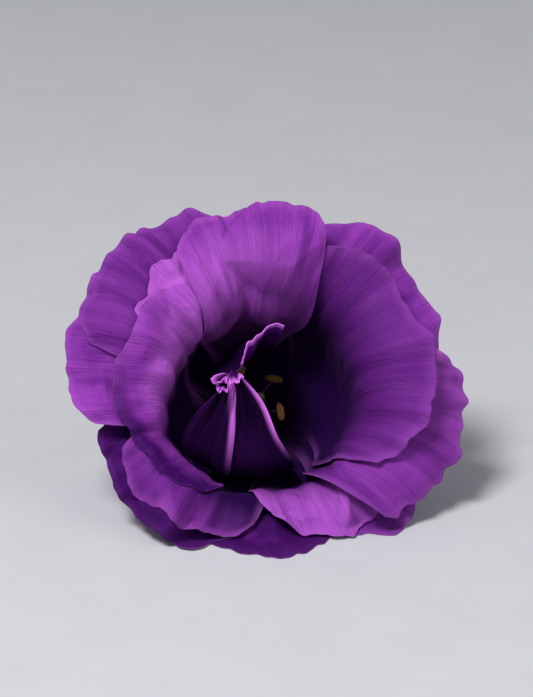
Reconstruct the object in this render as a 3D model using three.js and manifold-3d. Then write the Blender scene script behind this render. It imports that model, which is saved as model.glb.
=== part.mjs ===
// A picked lisianthus bloom: a double, ruffled flower lying on its lower petals and its pedicel.
// Millimetres, +Z up, resting on the plane z = 0. The bloom faces -Y and upwards.
import * as THREE from 'three';
import { mergeVertices } from 'three/addons/utils/BufferGeometryUtils.js';
import Module from 'manifold-3d';

const wasm = await Module();
wasm.setup();

// ---- How the flower lies ------------------------------------------------------------------
const faceTilt = 34;            // degrees the flower's axis rises from the surface
const receptacleHeight = 9.6;   // of the point where the petals grow, above the surface

// ---- Petal blades -------------------------------------------------------------------------
const bladeThickness = 0.6;
const widestAt = 0.6;           // of its length, where most petals reach their full width
const tipWidth = 0.9;           // of that width, what is left of it at their ends
const cornerRounding = 0.2;     // of half a petal's width, cut off its sides towards the rim
const layerPitch = 1.35;        // least distance between the middles of two blades that overlap
const edgeAllowance = 4;        // how far past a blade's outline the next one still clears it
const edgeFall = 0.6;           // how fast it may sink beyond that, mm per mm
const footAllowance = 0.4;      // the same two at the feet, which stand side by side
const footFall = 4;
const footLength = 15;          // arc length at which the feet have become one broad cup
const maxSink = 6;              // below which a blade no longer feels the one under it
const blendWidth = 0.8;         // of the soft line where a blade starts to lie on another
const pressHeight = 0.35;       // what lies lower than this is pressed flat on the surface
const pressedDepth = 10;        // over which the blades near the surface spread to a wider pitch
const steepest = 0.15;          // rise per mm of h below which the surface doesn't lift a blade
const acrossSteps = 14;         // of the grid of an outer or inner petal
const alongSteps = 16;
const heartSteps = 9;           // both ways on a petal of the heart
const rimCrowding = 0.5;        // how much finer than average the steps are towards the rim

// The cup that all petals follow: its slope at arc lengths from the receptacle. The lean is the
// angle between the petal and the flower's axis, in degrees: 0 is a steep wall, 90 a flat rim.
const cup = {
  rootRadius: 5.2,
  lift: 0,
  lean: [[0, 72], [6, 66], [12, 36], [18, 6], [28, 6], [34, 34], [40, 72], [46, 94], [54, 112],
    [62, 128]],
};
// The tent of young petals over the middle, which leans aside as it rises.
const heart = {
  rootRadius: 3.5,
  lift: 0.55,
  lean: [[0, 8], [3, 24], [6, 62], [12, 48], [17, 16], [20, 6], [23, -2], [26, -40], [29, -60],
    [36, -62], [38, -40], [40, 20], [42, 68], [46, 80]],
  driftX: -4.1,
  driftY: 0.9,
  driftHeight: 24,
};
// The steep wall that the youngest petal follows before it folds in to the tip of the tent.
const fold = {
  rootRadius: 3.5,
  lift: 0.55,
  lean: [[0, 8], [3, 24], [6, 62], [11, 56], [14, 14], [18, 0], [38, 0]],
};

// Petals from the lowest layer to the highest. Angles are in degrees round the flower's axis,
// from the right as one looks into the bloom. halfFoot, halfWidth and halfTip are half the angle
// that a petal takes at its foot, at its widest and at its end, reach is its length, and
// cornerLow and cornerHigh say how far its two corners are rounded off. skew makes one side the
// longer. rise, open and lip lift it off the cup or let it fall open, sway and gather do so more
// to one side than to the other, and ruffle, waves and phase make the frilled edge.
const outerPetals = [
  { name: 'petal_outer_4', turn: 260, halfFoot: 20, halfWidth: 44, reach: 48.8, cornerLow: 0.2,
    cornerHigh: 0.34, rise: -1.3, open: -9, lip: 5, ruffle: 1.6, waves: 2.3, phase: 60 },
  { name: 'petal_outer_3', turn: 222, halfFoot: 20, halfWidth: 42, reach: 51, cornerLow: 0.16,
    cornerHigh: 0.2, rise: -1.3, open: -12, lip: 6, ruffle: 1.6, waves: 1.8, phase: 20 },
  { name: 'petal_outer_2', turn: 160, halfFoot: 20, halfWidth: 40, reach: 54.5, cornerLow: 0.18,
    cornerHigh: 0.26, rise: -1.3, open: -5.5, ruffle: 1.7, waves: 2.4, phase: 120 },
  { name: 'petal_outer_6', turn: 37, halfFoot: 34, halfWidth: 50, reach: 53, cornerLow: 0.18,
    cornerHigh: 0.3, rise: -1.3, open: -6, ruffle: 1.5, waves: 2.6, phase: 300 },
  { name: 'petal_outer_5', turn: 317, halfFoot: 27, halfWidth: 44, reach: 52.8, cornerLow: 0.28,
    cornerHigh: 0.18, skew: 0.05, rise: -1.3, open: -5, ruffle: 1.6, waves: 2.6, phase: 200 },
  { name: 'petal_outer_1', turn: 132, halfFoot: 18, halfWidth: 42, reach: 53, cornerLow: 0.24,
    cornerHigh: 0.16, rise: -1.3, open: -5.5, ruffle: 1.6, waves: 2.2, phase: 20 },
];
const innerPetals = [
  { name: 'petal_inner_5', turn: 230, halfFoot: 22, halfWidth: 40, reach: 47.5, cornerLow: 0.14,
    cornerHigh: 0.3, open: -17, lip: 11, ruffle: 1.2, waves: 1.8, phase: 30 },
  { name: 'petal_inner_6', turn: 297, halfFoot: 22, halfWidth: 40, reach: 47, cornerLow: 0.5,
    cornerHigh: 0.2, open: -10, lip: 5, sway: -1.5, ruffle: 1.6, waves: 2, phase: 170 },
  { name: 'petal_inner_7', turn: 336, halfFoot: 20, halfWidth: 47, reach: 53, cornerLow: 0.22,
    cornerHigh: 0.18, lip: -3, sway: -2.5, ruffle: 1, waves: 1.6, phase: 90 },
  { name: 'petal_inner_3', turn: 126, halfFoot: 24, halfWidth: 40, reach: 42.5, cornerLow: 0.18,
    cornerHigh: 0.2, open: 9, lip: -18, ruffle: 1.1, waves: 1.6, phase: 80 },
  { name: 'petal_inner_4', turn: 180, halfFoot: 20, halfWidth: 64, halfTip: 68, reach: 41.5,
    cornerLow: 0.14, cornerHigh: 0.2, skew: 0.03, open: 8, lip: -19, sway: -4, gather: -5,
    ruffle: 0.8, waves: 2.2, phase: 240 },
  { name: 'petal_inner_1', turn: 7, halfFoot: 26, halfWidth: 72, reach: 44.6, cornerLow: 0.2,
    cornerHigh: 0.16, open: 3, lip: -1, ruffle: 0.7, waves: 1.8, phase: 150 },
  { name: 'petal_inner_2', turn: 90, halfFoot: 26, halfWidth: 42, reach: 48, cornerLow: 0.38,
    cornerHigh: 0.24, open: 3, lip: -7, ruffle: 1.1, waves: 1.6, phase: 10 },
];
// The young petals. widest is where along it a petal has its full width.
const tentPetals = [
  { name: 'petal_heart_2', turn: 235, halfFoot: 8, halfWidth: 22, halfTip: 34, widest: 0.7,
    reach: 42.4, cornerLow: 0.05, cornerHigh: 0.01, ruffle: 0.3, waves: 1.2, phase: 90 },
  { name: 'petal_heart_1', turn: 262, halfFoot: 40, halfWidth: 36, halfTip: 64, widest: 0.66,
    reach: 42.2, cornerLow: 0.02, cornerHigh: 0.02, open: 3, ruffle: 0.3, waves: 1.2,
    phase: 90 },
];
const foldPetals = [
  { name: 'petal_heart_3', turn: 112, halfFoot: 40, halfWidth: 42, halfTip: 46, reach: 31,
    cornerLow: 0.02, cornerHigh: 0.02, open: 9, lip: -9, gather: 7.2, ruffle: 0, waves: 1.2,
    phase: 90 },
];

// ---- Stamens and pistil -------------------------------------------------------------------
const stamen = {
  count: 5,
  firstTurn: -31,
  foot: { radius: 1.8, height: 0.5 },
  bend: { radius: 2, height: 7.5 },
  top: { radius: 5.4, height: 12.5 },
  filamentRadius: 0.4,
  antherLength: 3.6,
  antherWidth: 1.7,
  antherTurn: 35,
};
// The pistil's outline runs from the foot of the ovary up the style, as radius and height.
const pistil = {
  outline: [[0, 0.5], [0.9, 0.5], [1.3, 2.8], [1, 5.4], [0.55, 7], [0.55, 14], [0, 14]],
  lobe: { height: 14, apart: 1.1, halfSize: [1.15, 0.7, 0.85] },
};

// ---- Calyx and pedicel --------------------------------------------------------------------
const bossRadius = 4.1;         // of the raised middle that the stamens and the heart stand on
const bossHeight = 0.2;
const seatGap = 0.65;           // from the middle of the lowest blades to the seat under them
const seatLength = 1;
const calyxDepth = 8.5;
const funnel = [[7, -2.6], [4.75, -4.6], [2.65, -6.4]];     // radius and height
// A sepal's half width and its keel taper from foot to tip.
const sepal = { count: 5, firstTurn: 18, reach: 10, foot: { halfWidth: 1.95, keel: 0.8 },
  tip: { halfWidth: 0.25, keel: 0.3 }, thickness: 0.3, clearance: 1.05, droop: 0.3, steps: 7 };
// The pedicel leaves the calyx, touches down and ends touchSide and endSide off to the right.
// It touches down touchRun times as far along as it drops, and comes to its end askew.
const pedicel = { radius: 1.35, length: 56, sides: 12, steps: 20, overlap: 1, clearance: 0.05,
  touchSide: 0.6, touchRun: 3.2, touchAskew: 0.3, endSide: 4, endRun: 10, endAskew: 1.5 };

// ---- Materials ----------------------------------------------------------------------------
function material(color, roughness) {
  return new THREE.MeshStandardMaterial({ color, roughness, metalness: 0 });
}
const petalPurple = material(0x6a2f80, 0.6);
const heartPurple = material(0x4a1a60, 0.6);
const antherYellow = material(0xd2a52a, 0.7);
const stigmaGreen = material(0xb7bd62, 0.6);
const calyxGreen = material(0x6b8c4a, 0.6);

// ---- Small helpers ------------------------------------------------------------------------
const rad = THREE.MathUtils.degToRad;
const clamp = THREE.MathUtils.clamp;
const lerp = THREE.MathUtils.lerp;
const smooth = (x) => THREE.MathUtils.smoothstep(x, 0, 1);

function tableValue(rows, x) {
  const last = rows.length - 1;
  if (x <= rows[0][0]) return rows[0][1];
  if (x >= rows[last][0]) return rows[last][1];
  const i = rows.findIndex((row) => row[0] > x) - 1;
  const part = (x - rows[i][0]) / (rows[i + 1][0] - rows[i][0]);
  return lerp(rows[i][1], rows[i + 1][1], part);
}

// ---- Reference cups -----------------------------------------------------------------------
// Walks up a cup's slope and returns, for an arc length s, its radius, height and lean.
function meridian(profile) {
  const step = 0.1;
  const softening = 15;         // steps to each side over which the slope is averaged
  const length = profile.lean.at(-1)[0];
  const rows = [{ r: profile.rootRadius, z: profile.lift, lean: rad(profile.lean[0][1]) }];
  for (let s = step; s <= length + step / 2; s += step) {
    let sum = 0;
    for (let i = -softening; i <= softening; i += 1) sum += tableValue(profile.lean, s + i * step);
    const lean = rad(sum / (2 * softening + 1));
    const { r, z } = rows.at(-1);
    rows.push({ r: r + step * Math.sin(lean), z: z + step * Math.cos(lean), lean });
  }
  return (s) => {
    const x = clamp(s / step, 0, rows.length - 1.001);
    const i = Math.floor(x);
    const mix = (key) => lerp(rows[i][key], rows[i + 1][key], x - i);
    return { r: mix('r'), z: mix('z'), lean: mix('lean') };
  };
}
const cupAt = meridian(cup);
const heartAt = meridian(heart);
const foldAt = meridian(fold);

// The flower's own frame has x to the right, y up across its face and z out along its axis.
// This lays it down: the axis ends up pointing to -Y and faceTilt degrees upwards.
const laidDown = new THREE.Matrix4()
  .makeTranslation(0, 0, receptacleHeight)
  .multiply(new THREE.Matrix4().makeRotationX(rad(90 - faceTilt)));
const lie = (point) => point.applyMatrix4(laidDown);

// A point at turn phi and arc length s of a cup, a height h off it towards the inside.
const pointOn = (place) => (phi, s, h) => {
  const { r, z, lean } = place(s);
  const radius = r - h * Math.cos(lean);
  return new THREE.Vector3(radius * Math.cos(phi), radius * Math.sin(phi), z + h * Math.sin(lean));
};
const cupPoint = pointOn(cupAt);
const foldPoint = pointOn(foldAt);

function tentPoint(phi, s, h) {
  const point = pointOn(heartAt)(phi, s, h);
  const drift = (point.z / heart.driftHeight) ** 2;
  return point.add(new THREE.Vector3(heart.driftX * drift, heart.driftY * drift, 0));
}

const nothingBelow = () => ({ least: -Infinity, pitch: layerPitch });

// The least h that keeps a blade at (phi, s) on or above the surface that the flower lies on,
// and the pitch of the blades there, which grows where the surface presses them aslant.
function surfaceLimit(phi, s) {
  const low = lie(cupPoint(phi, s, 0)).z;
  const gain = lie(cupPoint(phi, s, 1)).z - low;
  if (gain < steepest) return nothingBelow();
  const least = (bladeThickness / 2 - low) / gain;
  const pressed = smooth((least + pressedDepth) / pressedDepth);
  return { least, pitch: layerPitch * lerp(1, 1 / gain, pressed) };
}

// ---- Petal forms --------------------------------------------------------------------------
// u runs from -1 to 1 across a petal and t from 0 to 1 along it.
function petalReach(petal, u) {
  const corner = u < 0 ? petal.cornerLow : petal.cornerHigh;
  return petal.reach * (1 - corner * Math.abs(u) ** 3 + (petal.skew ?? 0) * u);
}

function petalHalfAngle(petal, s) {
  const { halfFoot, halfWidth, halfTip = tipWidth * halfWidth, widest = widestAt } = petal;
  const along = s / petal.reach;
  const grown = lerp(halfFoot, halfWidth, smooth(along / widest));
  const past = widest < 1 ? smooth((along - widest) / (1 - widest)) : 0;
  return rad(grown + (halfTip - halfWidth) * past);
}

function petalHeight(petal, u, t) {
  const { rise = 0, open = 0, lip = 0, sway = 0, gather = 0 } = petal;
  const wave = Math.sin(Math.PI * petal.waves * u + rad(petal.phase));
  const lean = sway * u + gather * Math.sin(Math.PI * (u + 1) / 4);
  return rise + open * t ** 2 + lip * t ** 6 + lean * t ** 1.5 + petal.ruffle * t ** 3 * wave;
}

// Heights of petals 0 to last of a whorl at one place. Each blade keeps layerPitch above those
// beneath it, so no two of them ever cross.
function layerHeights(whorl, last, place, phi, s, limit) {
  const heights = [];
  const beyond = [];
  const grown = smooth(s / footLength);
  const allowance = lerp(footAllowance, edgeAllowance, grown);
  const fall = lerp(footFall, edgeFall, grown);
  const { least, pitch } = limit(phi, s);
  for (let j = 0; j <= last; j += 1) {
    const petal = whorl[j];
    const away = Math.atan2(Math.sin(phi - rad(petal.turn)), Math.cos(phi - rad(petal.turn)));
    const half = petalHalfAngle(petal, s);
    const u = clamp(away / half, -1, 1);
    const reach = petalReach(petal, u);
    let h = petalHeight(petal, u, clamp(s / reach, 0, 1));
    h = softMax(h, least);
    for (let i = 0; i < j; i += 1) {
      const sink = fall * Math.max(0, beyond[i] - allowance);
      if (sink < maxSink) h = softMax(h, heights[i] + pitch - sink);
    }
    heights.push(h);
    const aside = Math.max(0, Math.abs(away) - half) * place(s).r;
    beyond.push(Math.hypot(aside, Math.max(0, s - reach)));
  }
  return heights[last];
}

function softMax(a, b) {
  const near = Math.max(0, 1 - Math.abs(a - b) / blendWidth);
  return Math.max(a, b) + blendWidth / 4 * near ** 2;
}

// ---- Solids -------------------------------------------------------------------------------
// A grid of middle points becomes a thin closed blade, split alike on both faces.
function blade(grid) {
  const rows = grid.length;
  const columns = grid[0].length;
  const at = (row, column) => grid[clamp(row, 0, rows - 1)][clamp(column, 0, columns - 1)];
  const positions = [];
  for (const side of [1, -1]) {
    for (let row = 0; row < rows; row += 1) {
      for (let column = 0; column < columns; column += 1) {
        const along = at(row + 1, column).clone().sub(at(row - 1, column));
        const across = at(row, column + 1).clone().sub(at(row, column - 1));
        const normal = along.cross(across).normalize();
        const point = at(row, column).clone().addScaledVector(normal, -side * bladeThickness / 2);
        positions.push(point.x, point.y, point.z < pressHeight ? 0 : point.z);
      }
    }
  }
  const under = rows * columns;
  const index = [];
  const quad = (a, b, c, d) => index.push(a, b, c, a, c, d);
  for (let row = 0; row + 1 < rows; row += 1) {
    for (let column = 0; column + 1 < columns; column += 1) {
      const a = row * columns + column;
      const [b, c, d] = [a + 1, a + columns + 1, a + columns];
      quad(a, b, c, d);
      index.push(under + a, under + c, under + b, under + a, under + d, under + c);
    }
  }
  const border = [];
  for (let column = 0; column < columns - 1; column += 1) border.push(column);
  for (let row = 0; row < rows - 1; row += 1) border.push(row * columns + columns - 1);
  for (let column = columns - 1; column > 0; column -= 1) border.push((rows - 1) * columns + column);
  for (let row = rows - 1; row > 0; row -= 1) border.push(row * columns);
  border.forEach((a, i) => {
    const b = border[(i + 1) % border.length];
    quad(b, a, under + a, under + b);
  });
  const geometry = new THREE.BufferGeometry();
  geometry.setAttribute('position', new THREE.Float32BufferAttribute(positions, 3));
  geometry.setIndex(index);
  return geometry;
}

const rowPlace = (x) => x * (1 + rimCrowding - rimCrowding * x);

function petalBlade(whorl, j, { place, point, limit, across, along }) {
  const petal = whorl[j];
  const grid = [];
  for (let row = 0; row <= along; row += 1) {
    const line = [];
    for (let column = 0; column <= across; column += 1) {
      const t = rowPlace(row / along);
      const u = (2 * column / across - 1) * (1 - cornerRounding * t ** 5);
      const s = petalReach(petal, u) * t;
      const phi = rad(petal.turn) + u * petalHalfAngle(petal, s);
      line.push(lie(point(phi, s, layerHeights(whorl, j, place, phi, s, limit))));
    }
    grid.push(line);
  }
  return blade(grid);
}

function toSolid(geometry) {
  const plain = geometry.clone();
  plain.deleteAttribute('normal');
  plain.deleteAttribute('uv');
  const merged = mergeVertices(plain, 1e-4);
  return new wasm.Manifold(new wasm.Mesh({
    numProp: 3,
    vertProperties: Float32Array.from(merged.attributes.position.array),
    triVerts: Uint32Array.from(merged.index.array),
  }));
}

function fuse(geometries) {
  const mesh = geometries.map(toSolid).reduce((sum, solid) => sum.add(solid)).getMesh();
  const geometry = new THREE.BufferGeometry();
  geometry.setAttribute('position', new THREE.BufferAttribute(mesh.vertProperties, 3));
  geometry.setIndex(new THREE.BufferAttribute(mesh.triVerts, 1));
  return geometry;
}

// A round rod along a curve, with flats facing up, down and to the sides.
function rod(curve, radius, sides, steps) {
  const corner = (i) => {
    const angle = 2 * Math.PI * (i + 0.5) / sides;
    return new THREE.Vector2(radius * Math.cos(angle), radius * Math.sin(angle));
  };
  const section = new THREE.Shape(Array.from({ length: sides }, (_, i) => corner(i)));
  return new THREE.ExtrudeGeometry(section, { steps, extrudePath: curve, bevelEnabled: false });
}

// A body turned round the flower's axis, from an outline of radius and height that runs upwards.
function turned(outline, sides) {
  const geometry = new THREE.LatheGeometry(outline.map(([r, z]) => new THREE.Vector2(r, z)), sides);
  return geometry.rotateX(Math.PI / 2);
}

// ---- Pieces -------------------------------------------------------------------------------
function makePetals(whorl, form, finish) {
  return whorl.map(({ name }, j) => {
    const mesh = new THREE.Mesh(petalBlade(whorl, j, form), finish);
    mesh.name = name;
    return mesh;
  });
}

function makeStamen(number) {
  const turn = rad(stamen.firstTurn + number * 360 / stamen.count);
  const across = new THREE.Vector3(Math.cos(turn), Math.sin(turn), 0);
  const at = ({ radius, height }) => across.clone().multiplyScalar(radius).setZ(height);
  const top = at(stamen.top);
  const path = new THREE.QuadraticBezierCurve3(at(stamen.foot), at(stamen.bend), top);
  const filament = rod(path, stamen.filamentRadius, 6, 5);
  const anther = new THREE.SphereGeometry(0.5, 8, 6);
  anther.scale(stamen.antherWidth, stamen.antherLength, stamen.antherWidth);
  anther.rotateZ(turn + rad(stamen.antherTurn));
  anther.translate(top.x, top.y, top.z);
  const mesh = new THREE.Mesh(fuse([filament, anther]), antherYellow);
  mesh.name = `stamen_${number + 1}`;
  mesh.applyMatrix4(laidDown);
  return mesh;
}

function makePistil() {
  const { height, apart, halfSize } = pistil.lobe;
  const lobes = [-1, 1].map((side) => {
    const lobe = new THREE.SphereGeometry(1, 8, 6);
    lobe.scale(...halfSize);
    lobe.translate(side * apart / 2, 0, height);
    return lobe;
  });
  const mesh = new THREE.Mesh(fuse([turned(pistil.outline, 10), ...lobes]), stigmaGreen);
  mesh.name = 'pistil';
  mesh.applyMatrix4(laidDown);
  return mesh;
}

// The calyx cup: a boss in the middle, the seat round it that the petals grow from, and a
// funnel that runs down to the pedicel.
function calyxCup() {
  const depth = seatGap - outerPetals[0].rise;
  const seat = [0, seatLength].map((s) => {
    const { r, z, lean } = cupAt(s);
    return [r + depth * Math.cos(lean), z - depth * Math.sin(lean)];
  });
  const outline = [
    [0, bossHeight], [bossRadius, bossHeight], [bossRadius, seat[0][1]], ...seat, ...funnel,
    [pedicel.radius, -calyxDepth], [0, -calyxDepth],
  ];
  return turned(outline.reverse(), 20).applyMatrix4(laidDown);
}

// A narrow sepal that runs up the outside of the petals, keeled along its back.
function sepalSpear(number) {
  const { foot, tip, steps } = sepal;
  const turn = rad(sepal.firstTurn + number * 360 / sepal.count);
  const positions = [];
  for (let i = 0; i <= steps; i += 1) {
    const s = sepal.reach * i / steps;
    const h = outerPetals[0].rise - sepal.clearance - sepal.droop * (i / steps) ** 2;
    const angle = lerp(foot.halfWidth, tip.halfWidth, i / steps) / cupAt(s).r;
    const keel = lerp(foot.keel, tip.keel, i / steps);
    const corners = [[-angle, h], [0, h - keel], [angle, h], [0, h + sepal.thickness]];
    for (const [side, height] of corners) {
      const point = lie(cupPoint(turn + side, s, height));
      positions.push(point.x, point.y, point.z);
    }
  }
  const index = [0, 2, 1, 0, 3, 2];
  for (let i = 0; i < steps; i += 1) {
    for (let k = 0; k < 4; k += 1) {
      const a = 4 * i + k;
      const b = 4 * i + (k + 1) % 4;
      index.push(a, b, b + 4, a, b + 4, a + 4);
    }
  }
  const end = 4 * steps;
  index.push(end, end + 1, end + 2, end, end + 2, end + 3);
  const geometry = new THREE.BufferGeometry();
  geometry.setAttribute('position', new THREE.Float32BufferAttribute(positions, 3));
  geometry.setIndex(index);
  return geometry;
}

// The pedicel leaves the calyx along the flower's axis, bends down and lies on the surface.
function pedicelRod() {
  const rest = pedicel.radius * Math.cos(Math.PI / pedicel.sides) + pedicel.clearance;
  const onAxis = (height) => lie(new THREE.Vector3(0, 0, height));
  const top = pedicel.overlap - calyxDepth;
  const start = onAxis(top);
  const descent = (start.z - rest) / Math.sin(rad(faceTilt));
  const { touchSide, touchRun, touchAskew, endSide, endRun, endAskew } = pedicel;
  const touch = new THREE.Vector3(touchSide, start.y + touchRun * descent, rest);
  const end = new THREE.Vector3(endSide, start.y + pedicel.length, rest);
  const lead = new THREE.Vector3(touchAskew, descent, 0);
  const beforeTouch = touch.clone().sub(lead);
  const afterTouch = touch.clone().add(lead);
  const beforeEnd = end.clone().sub(new THREE.Vector3(endAskew, endRun, 0));
  const path = new THREE.CurvePath();
  path.add(new THREE.CubicBezierCurve3(start, onAxis(top - descent), beforeTouch, touch));
  path.add(new THREE.CubicBezierCurve3(touch, afterTouch, beforeEnd, end));
  return rod(path, pedicel.radius, pedicel.sides, pedicel.steps);
}

function makeCalyxAndPedicel() {
  const sepals = Array.from({ length: sepal.count }, (_, i) => sepalSpear(i));
  const mesh = new THREE.Mesh(fuse([calyxCup(), pedicelRod(), ...sepals]), calyxGreen);
  mesh.name = 'calyx_and_pedicel';
  return mesh;
}

// ---- The flower ---------------------------------------------------------------------------
const flower = new THREE.Group();
const cupGrid = { across: acrossSteps, along: alongSteps };
const heartGrid = { across: heartSteps, along: heartSteps };
const onCup = { place: cupAt, point: cupPoint, limit: surfaceLimit, ...cupGrid };
const onTent = { place: heartAt, point: tentPoint, limit: nothingBelow, ...heartGrid };
const onFold = { place: foldAt, point: foldPoint, limit: nothingBelow, ...heartGrid };
flower.add(...makePetals(outerPetals.concat(innerPetals), onCup, petalPurple));
flower.add(...makePetals(tentPetals, onTent, heartPurple));
flower.add(...makePetals(foldPetals, onFold, heartPurple));
flower.add(...Array.from({ length: stamen.count }, (_, i) => makeStamen(i)));
flower.add(makePistil());
flower.add(makeCalyxAndPedicel());

// The origin is under the middle of the flower, on the surface that it lies on.
const bounds = new THREE.Box3().setFromObject(flower);
const middle = bounds.getCenter(new THREE.Vector3());
flower.position.set(-middle.x, -middle.y, -bounds.min.z);

export default flower;
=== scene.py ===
import math

import bpy
import numpy as np
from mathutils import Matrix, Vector


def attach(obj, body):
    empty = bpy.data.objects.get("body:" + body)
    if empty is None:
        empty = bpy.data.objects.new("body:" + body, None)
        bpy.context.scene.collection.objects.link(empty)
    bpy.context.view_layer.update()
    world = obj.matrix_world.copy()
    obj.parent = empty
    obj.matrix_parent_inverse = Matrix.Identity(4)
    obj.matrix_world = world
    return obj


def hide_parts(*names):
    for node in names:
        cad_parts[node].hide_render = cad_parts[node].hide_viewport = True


# A picked double lisianthus bloom that lies on its lower petals and its pedicel.
# The tables hold millimetres and degrees in the flower's own frame: x to the right and y up as
# one looks into the bloom, z out along its axis. The meshes are made in metres.
mm = 0.001

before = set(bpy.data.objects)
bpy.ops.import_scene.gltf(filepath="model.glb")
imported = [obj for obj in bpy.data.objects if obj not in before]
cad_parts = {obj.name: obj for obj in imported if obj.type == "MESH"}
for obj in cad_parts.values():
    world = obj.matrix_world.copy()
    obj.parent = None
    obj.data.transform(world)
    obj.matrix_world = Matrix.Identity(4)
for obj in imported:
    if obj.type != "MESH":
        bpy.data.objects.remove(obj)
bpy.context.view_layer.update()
print("frame loaded")


# How the flower lies.

lying = {
    "faceTilt": 34,         # of the flower's axis above the floor
    "pistilFoot": 0.5,      # of the pistil above the point where the petals grow
    "footDepth": 0.01,      # of the slice that is taken for the pistil's foot
}


def flowerAxis():
    tilt = math.radians(lying["faceTilt"])
    return np.array([0, -math.cos(tilt), math.sin(tilt)])


def flowerOrigin():
    # the pistil stands on the axis, so its foot tells where the flower's centre is
    points = np.array([v.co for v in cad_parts["pistil"].data.vertices])
    along = points @ flowerAxis()
    foot = points[along < along.min() + lying["footDepth"] * mm]
    middle = (foot.min(axis=0) + foot.max(axis=0)) / 2
    return middle - lying["pistilFoot"] * mm * flowerAxis()


origin = flowerOrigin()
right = np.array([1, 0, 0])
turnDown = np.stack([right, np.cross(flowerAxis(), right), flowerAxis()])


def layDown(points):
    # from the flower's frame in millimetres to the floor's in metres
    return points @ turnDown * mm + origin


def floorGap(points):
    # height over the floor in millimetres
    return layDown(points)[..., 2] / mm


# Small helpers.

def smooth(x):
    x = np.clip(x, 0, 1)
    return x * x * (3 - 2 * x)


def lerp(low, high, x):
    return low + (high - low) * x


def softMax(a, b, width):
    # the larger of the two, rounded off where they cross
    near = np.maximum(0, 1 - np.abs(a - b) / width)
    return np.maximum(a, b) + width / 4 * near ** 2


def unit(vectors):
    return vectors / np.linalg.norm(vectors, axis=-1, keepdims=True)


def ringAngles(sides):
    return 2 * math.pi * np.arange(sides) / sides


def aboveFloor(points):
    # nothing dips into the floor
    points[:, 2] = np.maximum(points[:, 2], 0)
    return points


def mark(mesh, name, kind, field, numbers):
    # a value for each point of a mesh, which its material reads
    layer = mesh.attributes.new(name, kind, "POINT")
    layer.data.foreach_set(field, np.asarray(numbers, np.float32).ravel())


def linear(red, green, blue):
    # a colour as a screen shows it, 0 to 255, in the light's own scale
    def one(value):
        value = value / 255
        return value / 12.92 if value < 0.04045 else ((value + 0.055) / 1.055) ** 2.4
    return (one(red), one(green), one(blue), 1)


# The cups that the petals follow. Each is given by its slope off the axis, in degrees, at some
# distances from its foot along it.

def profile(rootRadius, lift, lean):
    step = 0.1
    blurSteps = 15          # to each side, over which the slope is smoothed
    arc = np.arange(0, lean[-1][0] + step / 2, step)
    around = np.arange(-blurSteps, blurSteps + 1) * step
    table = np.array(lean, float)
    leans = np.interp(arc[:, None] + around, table[:, 0], table[:, 1]).mean(axis=1)
    leans = np.radians(leans)
    radius = rootRadius + step * (np.cumsum(np.sin(leans)) - np.sin(leans[0]))
    height = lift + step * (np.cumsum(np.cos(leans)) - np.cos(leans[0]))

    def at(s):
        return np.interp(s, arc, radius), np.interp(s, arc, height), np.interp(s, arc, leans)
    return at


# the open petals follow the cup, two of the young ones the tent and the third the fold
cups = {
    "cup": profile(5.2, 0, [
        (0, 72), (6, 66), (12, 36), (18, 6), (28, 6), (34, 34), (40, 72), (46, 94), (54, 112),
        (62, 128)]),
    "tent": profile(3.5, 0.55, [
        (0, 8), (3, 24), (6, 66), (12, 64), (17, 22), (20, 6), (23, -2), (26, -40), (29, -60),
        (38, -62), (40, -40), (42, 20), (44, 68), (47, 80)]),
    "fold": profile(3.5, 0.55, [
        (0, 8), (3, 24), (6, 62), (11, 56), (14, 14), (18, 0), (38, 0)]),
}
drift = {"x": -4.1, "y": 0.9, "height": 24}     # how far the tent leans aside at a height


def cupPoint(cup, phi, s, h):
    # the point at angle phi and arc length s of a cup, raised by h towards the axis
    radius, height, lean = cups[cup](s)
    r = radius - h * np.cos(lean)
    z = height + h * np.sin(lean)
    aside = (z / drift["height"]) ** 2 if cup == "tent" else 0 * z
    x = r * np.cos(phi) + drift["x"] * aside
    y = r * np.sin(phi) + drift["y"] * aside
    return np.stack([x, y, z], axis=-1)


# The petals, from the lowest layer to the highest.
# turn is the angle round the axis at which a petal grows, and reach its length. halfFoot,
# halfWidth and halfTip are half the angle that it takes round the axis at its foot, where it
# is widest and at its tip, and cornerLow and cornerHigh how far its two corners are rounded
# off. ruffle, waves and phase are the size, number and place of its broad folds. These have
# the same value in most petals:
anyPetal = {
    "skew": 0,              # how much longer its high side is than its low side
    "rise": 0,              # how far it bends inwards, or outwards if below 0
    "open": 0,              # the same for its upper part
    "lip": 0,               # and for its tip
    "sway": 0,              # and for its high side, while its low side bends the other way
    "gather": 0,            # and for its high side alone
    "frill": 0.8,           # size of the fine waves of its margin
    "widest": 0.6,          # how far along it halfWidth is reached
    "dark": 0,              # millimetres that the throat's colour reaches further up it, as painted shade
    "sideDark": 0,          # and how many more on its high side, as painted shade
    "tone": 0,              # painted light and shade on it, from -1, painted shade, to 1, painted highlight
    "sideTone": 0,          # painted light on its high side and painted shade on its low side, the other way below 0
    "rimTone": 0,           # painted light at its tip, painted shade there below 0
    "plainSide": 0,         # if above 0, its low side has no pale margin and no painted highlight
}


def petal(**own):
    # the tip is a tenth narrower than the widest place, unless a petal gives its own
    return {**anyPetal, "halfTip": 0.9 * own["halfWidth"], **own}


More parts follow.
